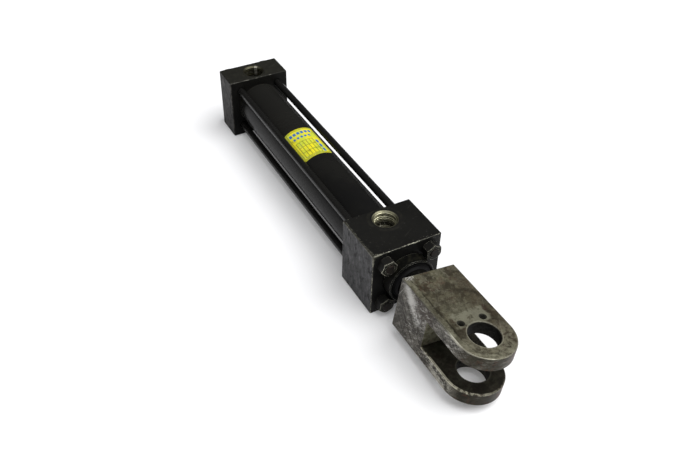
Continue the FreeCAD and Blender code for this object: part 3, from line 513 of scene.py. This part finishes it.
    # the keeper plate kept this patch clean: a rectangle across the two screw holes
    kx = t.sub(x, KEEP_X - PIN_X)
    patch = t.mul(t.step(t.add(t.ab(t.add(kx, 0.0030)), t.mul(t.sub(n8, 0.5), 0.0170)), 0.0086, 0.0062),
                  t.step(t.add(t.ab(t.sub(y, 0.0012)), t.mul(t.sub(n8b, 0.5), 0.0200)), 0.0160, 0.0134))
    patch = t.mul(patch, t.fmix(t.step(n8c, 0.50, 0.58), 1.0, 0.25))
    patch = t.mul(patch, t.step(z, 0.02, 0.022))
    face = t.mix(t.mul(patch, 0.66), face, t.mix(fine, (0.225, 0.222, 0.166), (0.150, 0.147, 0.106)))
    # sides: scuffed grey steel, dark blotches, diagonal rubs, one broad bright rub near the back on the left
    s1 = t.noise(1.0, 6, 0.66, v=t.place(turn=(0.0, 0.62, 0.0), scale=(60.0, 60.0, 340.0), v=v))
    s2 = t.noise(1.0, 6, 0.66, v=t.place(turn=(0.0, -0.75, 0.0), scale=(46.0, 46.0, 420.0), v=v))
    s3 = t.noise(1.0, 5, 0.64, v=t.place(turn=(0.0, 1.15, 0.0), scale=(30.0, 30.0, 900.0), v=v))
    side = t.mix(t.step(n8, 0.42, 0.58), (0.112, 0.105, 0.090), (0.046, 0.042, 0.035))
    side = t.mix(t.mul(t.step(s1, 0.50, 0.62), 0.74), side, (0.285, 0.272, 0.240))
    side = t.mix(t.mul(t.step(s2, 0.51, 0.60), 0.86), side, (0.022, 0.020, 0.017))
    bx = t.sub(x, (CLEV_X0 - PIN_X) + 0.0195)
    bz = t.sub(z, CLEV_H - 0.0105)
    b_along = t.add(t.mul(bx, 0.78), t.mul(bz, -0.63))
    b_cross = t.add(t.mul(bx, 0.63), t.mul(bz, 0.78))
    b_r = t.math("SQRT", t.add(t.math("POWER", t.mul(b_along, 0.50), 2.0), t.math("POWER", t.mul(b_cross, 1.4), 2.0)))
    rubb = t.step(t.add(b_r, t.add(t.mul(t.sub(s1, 0.5), 0.016), t.mul(t.sub(n8c, 0.5), 0.012))), 0.0112, 0.0036)
    rubb = t.mul(rubb, t.step(y, -0.020, -0.023))
    side = t.mix(t.mul(rubb, 0.85), side, t.mix(mid, (0.60, 0.59, 0.56), (0.36, 0.35, 0.32)))
    blot = t.step(t.add(n8b, t.mul(t.sub(s2, 0.5), 0.3)), 0.52, 0.60)
    side = t.mix(t.mul(blot, 0.80), side, (0.030, 0.024, 0.018))
    # the lower back corner of the left side is darker
    heel = t.mul(t.step(t.add(t.sub(x, CLEV_X0 - PIN_X), t.mul(t.sub(n8, 0.5), 0.02)), 0.019, 0.004), t.step(z, 0.014, -0.004))
    side = t.mix(t.mul(t.mul(heel, t.step(n8c, 0.36, 0.50)), 0.68), side, (0.026, 0.024, 0.020))
    side = t.mix(t.mul(t.step(s3, 0.60, 0.68), 0.38), side, (0.42, 0.41, 0.38))
    # dark brown grime along the upper edge, between the bright rub and the slot's corner
    grime = t.mul(t.mul(t.step(t.add(x, t.mul(t.sub(n8, 0.5), 0.012)), -0.056, -0.049), t.step(x, -0.022, -0.032)),
                  t.step(t.add(z, t.add(t.mul(t.sub(n8b, 0.5), 0.024), t.mul(x, -0.25))), 0.014, 0.021))
    side = t.mix(t.mul(grime, t.mul(t.step(n8c, 0.42, 0.52), 0.72)), side, t.mix(fine, (0.030, 0.022, 0.017), (0.056, 0.041, 0.032)))
    # the ears' ends: darker, with reddish rust towards the far side
    end = t.step(x, -0.002, 0.012)
    side = t.mix(t.mul(end, t.fmix(t.step(n8, 0.40, 0.60), 0.92, 0.55)), side, (0.034, 0.031, 0.021))
    lower_end = t.mul(t.step(x, -0.010, 0.010), t.step(z, 0.0, -0.010))
    side = t.mix(t.mul(lower_end, t.fmix(t.step(n8b, 0.42, 0.58), 0.90, 0.45)), side, (0.016, 0.015, 0.010))
    rust = t.mul(end, t.step(t.add(mid, t.mul(t.step(y, -0.004, 0.020), 0.22)), 0.50, 0.72))
    side = t.mix(t.mul(rust, 0.66), side, (0.074, 0.032, 0.020))
    n5 = t.noise(330.0, 8, 0.80, v=v, w=3.0)
    low = t.mul(t.mul(t.step(z, -0.004, -0.013), t.step(x, 0.008, -0.006)), t.step(fine, 0.42, 0.58))
    side = t.mix(t.mul(low, 0.16), side, (0.080, 0.052, 0.032))
    s6 = t.noise(1.0, 7, 0.74, v=t.place(turn=(0.0, 0.10, 0.0), scale=(150.0, 150.0, 430.0), v=v))
    lowside = t.mul(t.mul(t.step(z, -0.0120, -0.0132), t.step(x, 0.014, -0.002)), t.step(x, -0.0430, -0.0350))
    side = t.mix(t.mul(t.mul(lowside, t.step(t.add(t.add(s6, t.mul(t.sub(n5, 0.5), 0.5)), t.mul(t.sub(big2, 0.5), 0.8)), 0.47, 0.56)), t.fmix(t.step(x, -0.036, -0.018), 0.22, 0.58)), side, (0.50, 0.480, 0.405))
    side = t.mix(t.mul(t.mul(lowside, t.step(t.add(t.add(n5, t.mul(t.sub(s6, 0.5), 0.5)), t.mul(t.sub(big, 0.5), 0.7)), 0.50, 0.43)), 0.88), side, (0.024, 0.021, 0.016))
    # hard little scratches and pits, light and dark
    s4 = t.noise(1.0, 8, 0.78, v=t.place(turn=(0.0, 0.45, 0.0), scale=(150.0, 150.0, 520.0), v=v))
    calm = t.step(t.add(t.sub(x, CLEV_X0 - PIN_X), t.mul(t.sub(big, 0.5), 0.03)), 0.010, 0.024)
    side = t.mix(t.mul(t.step(t.add(s4, t.mul(t.sub(n5, 0.5), 0.5)), 0.56, 0.63), t.mul(t.inv(end), t.fmix(calm, 0.30, 0.78))), side, (0.40, 0.39, 0.36))
    side = t.mix(t.mul(t.step(t.add(s4, t.mul(t.sub(n5, 0.5), -0.5)), 0.45, 0.39), t.fmix(calm, 0.35, 0.85)), side, (0.014, 0.012, 0.010))
    # a turned ring round the bore has been rubbed by washers
    washer = t.mul(t.step(rxy, 0.0139, 0.0134), t.mul(flat, t.step(n8c, 0.40, 0.50)))
    # the upper ear's end is cleaner than the rest
    tip = t.mul(t.mul(t.step(t.add(x, t.mul(t.sub(n8b, 0.5), 0.02)), -0.010, 0.006), t.step(z, 0.018, 0.022)), t.step(n9b, 0.40, 0.54))
    face = t.mix(t.mul(tip, 0.36), face, (0.270, 0.258, 0.185))
    face = t.mix(t.mul(t.mul(t.step(x, -0.004, 0.010), t.step(t.add(n8, t.mul(t.sub(n9, 0.5), 0.6)), 0.53, 0.60)), 0.50), face, (0.036, 0.030, 0.019))
    c = t.mix(flat, side, face)
    c = t.mix(t.mul(washer, 0.62), c, (0.30, 0.29, 0.225))
    # rubbed edges
    width = t.add(0.0005, t.mul(t.step(big2, 0.35, 0.7), 0.0013))
    rag = t.add(edge, t.mul(t.sub(mid, 0.5), 0.0016))
    rub = t.step(t.math("SUBTRACT", 1.0, t.math("DIVIDE", rag, width), clamp=True), 0.0, 0.5)
    corner = t.step(t.add(t.corner(0.0009), t.mul(t.sub(mid, 0.5), 0.2)), 0.08, 0.22)
    rub = t.mx(t.mul(rub, t.step(mid, 0.30, 0.52)), t.mul(corner, 0.75))
    c = t.mix(t.mul(rub, 0.75), c, t.mix(fine, (0.36, 0.35, 0.29), (0.24, 0.23, 0.18)))
    kc = t.math("SQRT", t.add(t.math("POWER", d_back, 2.0), t.add(t.math("POWER", t.add(y, 0.0195), 2.0), t.math("POWER", d_z, 2.0))))
    knock = t.mul(t.step(kc, 0.0062, 0.0030), t.step(t.noise(1100.0, 4, 0.7, v=v), 0.52, 0.57))
    knock = t.mul(knock, t.step(z, 0.0, 0.002))
    c = t.mix(t.mul(knock, 0.9), c, (0.80, 0.80, 0.77))
    # painted highlight: a bright band painted on the rounded edge by the ear's end, on the left side
    painted_edge_highlight = t.mul(t.mul(t.step(edge, 0.0016, 0.0006), t.step(t.ab(t.add(x, 0.004)), 0.012, 0.004)), t.step(y, -0.012, -0.018))
    c = t.mix(t.mul(painted_edge_highlight, t.mul(t.step(mid, 0.36, 0.5), 0.8)), c, (0.62, 0.60, 0.50))
    lip = t.mx(t.mul(t.step(d_out, 0.0003, 0.0001), t.step(t.ab(t.add(z, 0.0131)), 0.0014, 0.0005)),
               t.mul(t.step(t.ab(t.add(z, 0.0125)), 0.0002, 0.0001), t.step(d_out, 0.0015, 0.0006)))
    lip = t.mul(t.mul(lip, t.step(x, -0.040, -0.034)), t.step(t.add(n5, t.mul(t.sub(big2, 0.5), 0.8)), 0.46, 0.54))
    # bores, tapped holes and the slot's inside are oily black, and are painted darker still as shade in these hollows
    bore = t.step(rxy, 0.01285, 0.01262)
    hy = t.sub(t.ab(y), 0.0100)
    hr = t.math("SQRT", t.add(t.math("POWER", kx, 2.0), t.math("POWER", hy, 2.0)))
    tapped = t.mul(t.step(hr, 0.00318, 0.00300), t.step(z, 0.010, 0.012))
    face_in = t.mul(t.step(d_slot, 0.0003, -0.0001), t.step(t.ab(nz), 0.4, 0.8))
    shaded_oily_inside = t.mx(t.mul(face_in, 0.995), t.mx(t.mul(bore, 0.95), t.mul(tapped, 0.80)))
    floor_face = t.mul(t.step(t.ab(nx), 0.6, 0.9), t.mul(t.step(d_slot, 0.0002, -0.0002), t.step(x, -0.030, -0.033)))
    c = t.mix(shaded_oily_inside, c, t.mix(mid, (0.0008, 0.0008, 0.0006), (0.0030, 0.0026, 0.0018)))
    c = t.mix(t.mul(floor_face, 0.92), c, t.mix(t.step(n8, 0.42, 0.6), (0.400, 0.385, 0.270), (0.165, 0.154, 0.100)))
    c = t.mix(t.mul(lip, t.fmix(t.step(y, -0.016, 0.004), 0.80, 0.22)), c, (0.50, 0.480, 0.370))
    metal = t.fmix(flat, 0.70, t.fmix(through, 0.25, 0.50))
    metal = t.fmix(t.mul(red, flat), metal, 0.25)
    metal = t.fmix(rub, metal, 0.95)
    metal = t.fmix(shaded_oily_inside, metal, 0.0)
    rough = t.fmix(flat, 0.44, t.fmix(through, 0.52, 0.44))
    rough = t.add(rough, t.mul(t.sub(mid, 0.5), 0.26))
    rough = t.add(rough, t.mul(t.mul(red, flat), 0.08))
    rough = t.fmix(rub, rough, 0.34)
    rough = t.fmix(shaded_oily_inside, rough, 0.64)
    h = t.add(t.mul(mid, 0.55), t.add(t.mul(fine, 0.35), t.mul(grit, 0.12)))
    h = t.sub(h, t.mul(upright, t.add(t.mul(s1, 0.3), t.add(t.mul(s2, 0.2), t.mul(blot, 0.2)))))
    return t.surface(c, rough, metal, t.bump(h, 0.00012, 0.6), Specular_IOR_Level=0.10)


def rubber(name, tone):
    t = Tree(name)
    mid = t.noise(700.0, 4, 0.6)
    fine = t.noise(3000.0, 3, 0.6)
    c = t.mix(mid, tone, tuple(k * 1.9 for k in tone))
    r = t.add(0.56, t.mul(mid, 0.2))
    return t.surface(c, r, 0.0, t.bump(t.add(mid, t.mul(fine, 0.4)), 0.00004, 0.5), Specular_IOR_Level=0.12)


def resin(name, a, b, rough):
    """Filled plastic: weave or metal specks in a matte body."""
    t = Tree(name)
    x, y, z = t.xyz()
    speck = t.step(t.noise(2400.0, 3, 0.6), 0.45, 0.62)
    wave = t.noise(1.0, 2, 0.5, v=t.place(scale=(2600.0, 300.0, 300.0)))
    c = t.mix(speck, a, b)
    r = t.add(rough, t.mul(wave, 0.15))
    return t.surface(c, r, 0.0, t.bump(t.add(wave, speck), 0.00003, 0.5))


def turned_steel(name, tone, rough):
    t = Tree(name)
    x, y, z = t.xyz()
    r0 = t.math("SQRT", t.add(t.math("POWER", y, 2.0), t.math("POWER", t.sub(z, AXIS_Z), 2.0)))
    rings = t.noise(1.0, 3, 0.6, v=t.vec(t.mul(x, 4200.0), t.mul(r0, 4200.0), 0.0))
    film = t.noise(160.0, 5, 0.6)
    c = t.mix(film, tone, tuple(k * 0.6 for k in tone))
    r = t.add(rough, t.mul(rings, 0.16))
    return t.surface(c, r, 1.0, t.bump(rings, 0.00003, 0.5))


def label_foil():
    """Yellow foil with plain printed bars and ruled fields, scuffed and oily. Nothing on it is lettering or a mark."""
    t = Tree("label_print")
    x, y, z = t.xyz()
    u = t.math("DIVIDE", t.sub(x, label_lo.x), label_hi.x - label_lo.x)      # 0 to 1 along the cylinder
    ang = t.math("ARCTAN2", y, t.sub(z, AXIS_Z))
    s = t.math("DIVIDE", t.sub(ang, math.radians(-40.0)), math.radians(73.0))  # 0 to 1 round it
    big = t.noise(90.0, 5, 0.65)
    mid = t.noise(520.0, 5, 0.65)
    fine = t.noise(1600.0, 4, 0.65)

    def bar(u0, u1, s0, s1, soft=0.012):
        a = t.mul(t.step(u, u0 - soft, u0 + soft), t.step(u, u1 + soft, u1 - soft))
        b = t.mul(t.step(s, s0 - soft, s0 + soft), t.step(s, s1 + soft, s1 - soft))
        return t.mul(a, b)

    yellow = t.mix(t.step(big, 0.40, 0.60), (0.82, 0.715, 0.012), (0.56, 0.625, 0.040))
    yellow = t.mix(t.mul(t.step(mid, 0.52, 0.7), 0.55), yellow, (0.66, 0.70, 0.20))
    yellow = t.mix(t.mul(t.step(fine, 0.50, 0.62), 0.45), yellow, (0.26, 0.265, 0.020))
    # ruled fields: thin olive lines
    lines = None
    for k in range(6):
        s0 = 0.12 + 0.115 * k
        one = bar(0.43, 0.93, s0, s0 + 0.020, 0.007)
        lines = one if lines is None else t.mx(lines, one)
    for u0 in (0.43, 0.60, 0.77, 0.93):
        lines = t.mx(lines, bar(u0 - 0.006, u0 + 0.006, 0.12, 0.70, 0.006))
    border = t.inv(bar(0.050, 0.950, 0.065, 0.935, 0.008))
    inner = bar(0.026, 0.974, 0.035, 0.965, 0.006)
    frame_line = t.mul(border, inner)
    # plain blue bars, all of one size, in a row and in a stack
    blue = None
    for k in range(6):
        one = bar(0.105, 0.190, 0.10 + 0.135 * k, 0.195 + 0.135 * k, 0.010)
        blue = one if blue is None else t.mx(blue, one)
    for k in range(5):
        blue = t.mx(blue, bar(0.260, 0.325, 0.15 + 0.13 * k, 0.225 + 0.13 * k, 0.009))
    for u0, u1 in ((0.50, 0.60), (0.66, 0.76), (0.82, 0.92)):
        blue = t.mx(blue, bar(u0 - 0.01, u1 + 0.01, 0.760, 0.850, 0.010))
    keep = t.step(mid, 0.30, 0.44)
    c = t.mix(t.mul(lines, t.mul(keep, 0.88)), yellow, (0.060, 0.072, 0.018))
    c = t.mix(t.mul(frame_line, t.mul(keep, 0.60)), c, (0.090, 0.095, 0.022))
    c = t.mix(t.mul(blue, t.fmix(keep, 0.82, 0.96)), c, (0.004, 0.115, 0.42))
    # rubbed rim and scuffs
    rim = t.inv(bar(0.014, 0.986, 0.018, 0.982, 0.018))
    scuff = t.step(t.noise(1.0, 5, 0.62, v=t.place(turn=(0.0, 0.0, 0.4), scale=(40.0, 900.0, 900.0))), 0.60, 0.69)
    c = t.mix(t.mul(rim, 0.55), c, (0.10, 0.095, 0.020))
    c = t.mix(t.mul(scuff, t.fmix(blue, 0.45, 0.15)), c, (0.60, 0.63, 0.30))
    oil = t.step(t.noise(130.0, 5, 0.65, w=4.0), 0.54, 0.70)
    c = t.mix(t.mul(oil, 0.55), c, (0.155, 0.150, 0.016))
    r = t.add(0.40, t.mul(mid, 0.22))
    h = t.sub(t.mul(mid, 0.4), t.mul(scuff, 0.4))
    return t.surface(c, r, 0.0, t.bump(h, 0.00004, 0.5), IOR=1.48, Specular_IOR_Level=0.3)


assign(block_paint("cap_black", CAP_X0, CAP_X1, PORT_R, 3.0, (0.062, 0.060, 0.052), (0.050, 0.048, 0.038), 0.35, 0.05, (0.022, 0.0175, 0.0165), (0.0185, 0.0181, 0.0146), (0.0075, 0.0070, 0.0064)), "rear_cap")
assign(block_paint("head_black", HEAD_X0, HEAD_X1, PORT_F, 11.0, (0.235, 0.230, 0.185), (0.66, 0.64, 0.44), 0.85, 0.11, (0.062, 0.061, 0.063), (0.0070, 0.0069, 0.0061), (0.0440, 0.0435, 0.0460)), "front_head")
assign(tube_paint(), "cylinder_tube")
assign(tie_rod_paint(), *[n for n in NODES if n.startswith("tie_rod_")])
assign(nut_steel(), "front_tie_nuts", "rear_tie_nuts")
assign(gland_iron(), "rod_gland")
assign(rod_chrome(), "piston_rod")
assign(clevis_steel(), "rod_clevis")
assign(label_foil(), "label_plate")
assign(turned_steel("piston_turned", (0.45, 0.45, 0.46), 0.24), "piston")
assign(turned_steel("screw_black_oxide", (0.06, 0.06, 0.06), 0.34), "piston_lock_screw")
assign(rubber("wiper_rubber", (0.0016, 0.0016, 0.0017)), "rod_wiper")
assign(rubber("seal_rubber", (0.012, 0.012, 0.012)), *[n for n in NODES if n.endswith("oring") or n.endswith("energiser") or "oring_" in n or n == "rod_lip_seal"])
assign(resin("bronze_ptfe", (0.20, 0.13, 0.06), (0.34, 0.24, 0.12), 0.40), "rod_step_seal", "piston_seal", *[n for n in NODES if "backup_ring" in n])
assign(resin("guide_resin", (0.26, 0.15, 0.07), (0.36, 0.24, 0.13), 0.50), "rod_guide_ring", "piston_guide_ring_front", "piston_guide_ring_rear")

# ---------------------------------------------------------------- the stage
def floor():
    bm = bmesh.new()
    bmesh.ops.create_grid(bm, x_segments=4, y_segments=4, size=5.0)
    me = bpy.data.meshes.new("floor")
    bm.to_mesh(me)
    bm.free()
    o = bpy.data.objects.new("floor", me)
    scene.collection.objects.link(o)
    o.location = (0, 0, -0.00015)
    # seen from above it is a white sheet, lit a little from below; from underneath it is clear
    t = Tree("floor_white")
    t.surface((0.84, 0.84, 0.85), 0.9, 0.0, None)
    t.bsdf.inputs["Specular IOR Level"].default_value = 0.1
    t.bsdf.inputs["Emission Color"].default_value = (1.0, 1.0, 1.0, 1.0)
    t.bsdf.inputs["Emission Strength"].default_value = 0.12
    clear = t.n("ShaderNodeBsdfTransparent")
    pick = t.n("ShaderNodeMixShader")
    t.link(t.n("ShaderNodeNewGeometry").outputs["Backfacing"], pick.inputs[0])
    t.link(t.bsdf.outputs[0], pick.inputs[1])
    t.link(clear.outputs[0], pick.inputs[2])
    t.link(pick.outputs[0], t.out.inputs["Surface"])
    me.materials.append(t.mat)


floor()

world = bpy.data.worlds.new("studio")
scene.world = world
world.use_nodes = True
wt = world.node_tree
bg = wt.nodes["Background"]
bg.inputs["Color"].default_value = (0.93, 0.95, 1.0, 1.0)
bg.inputs["Strength"].default_value = 0.055
# a pale backdrop for low views; the light on the object comes from the dim one
back = wt.nodes.new("ShaderNodeBackground")
back.inputs["Color"].default_value = (1.0, 1.0, 1.0, 1.0)
back.inputs["Strength"].default_value = 1.0
path = wt.nodes.new("ShaderNodeLightPath")
swap = wt.nodes.new("ShaderNodeMixShader")
wt.links.new(path.outputs["Is Camera Ray"], swap.inputs[0])
wt.links.new(bg.outputs[0], swap.inputs[1])
wt.links.new(back.outputs[0], swap.inputs[2])
wt.links.new(swap.outputs[0], wt.nodes["World Output"].inputs["Surface"])


def sun(name, toward, irradiance, angle, color=(1, 1, 1)):
    d = bpy.data.lights.new(name, "SUN")
    d.energy = irradiance
    d.angle = math.radians(angle)
    d.color = color
    o = bpy.data.objects.new(name, d)
    scene.collection.objects.link(o)
    o.rotation_mode = "QUATERNION"
    o.rotation_quaternion = Vector(toward).normalized().to_track_quat("Z", "Y")
    return o


sun("key", (0.30, 0.38, 0.87), 3.5, 60.0)
sun("fill", (0.10, -0.52, 0.85), 1.0, 60.0)

# --------------------------------------------------------------- the camera
cd = bpy.data.cameras.new("camera")
cd.sensor_fit = "HORIZONTAL"
cd.sensor_width = 36.0
cd.lens = 41.15853885
cam = bpy.data.objects.new("camera", cd)
scene.collection.objects.link(cam)
right = Vector((0.4693164276, 0.8829553442, 0.0114869937))
down = Vector((0.5780367335, -0.2973572085, -0.7599027735))
look = Vector((-0.6675444745, 0.3632747593, -0.6499352458))
m = Matrix(((right.x, -down.x, -look.x, 0.4783453025),
            (right.y, -down.y, -look.y, -0.2668748192),
            (right.z, -down.z, -look.z, 0.4726029391),
            (0, 0, 0, 1)))
cam.matrix_world = m
cd.clip_start, cd.clip_end = 0.02, 50.0
scene.camera = cam
scene.view_settings.view_transform = "Standard"
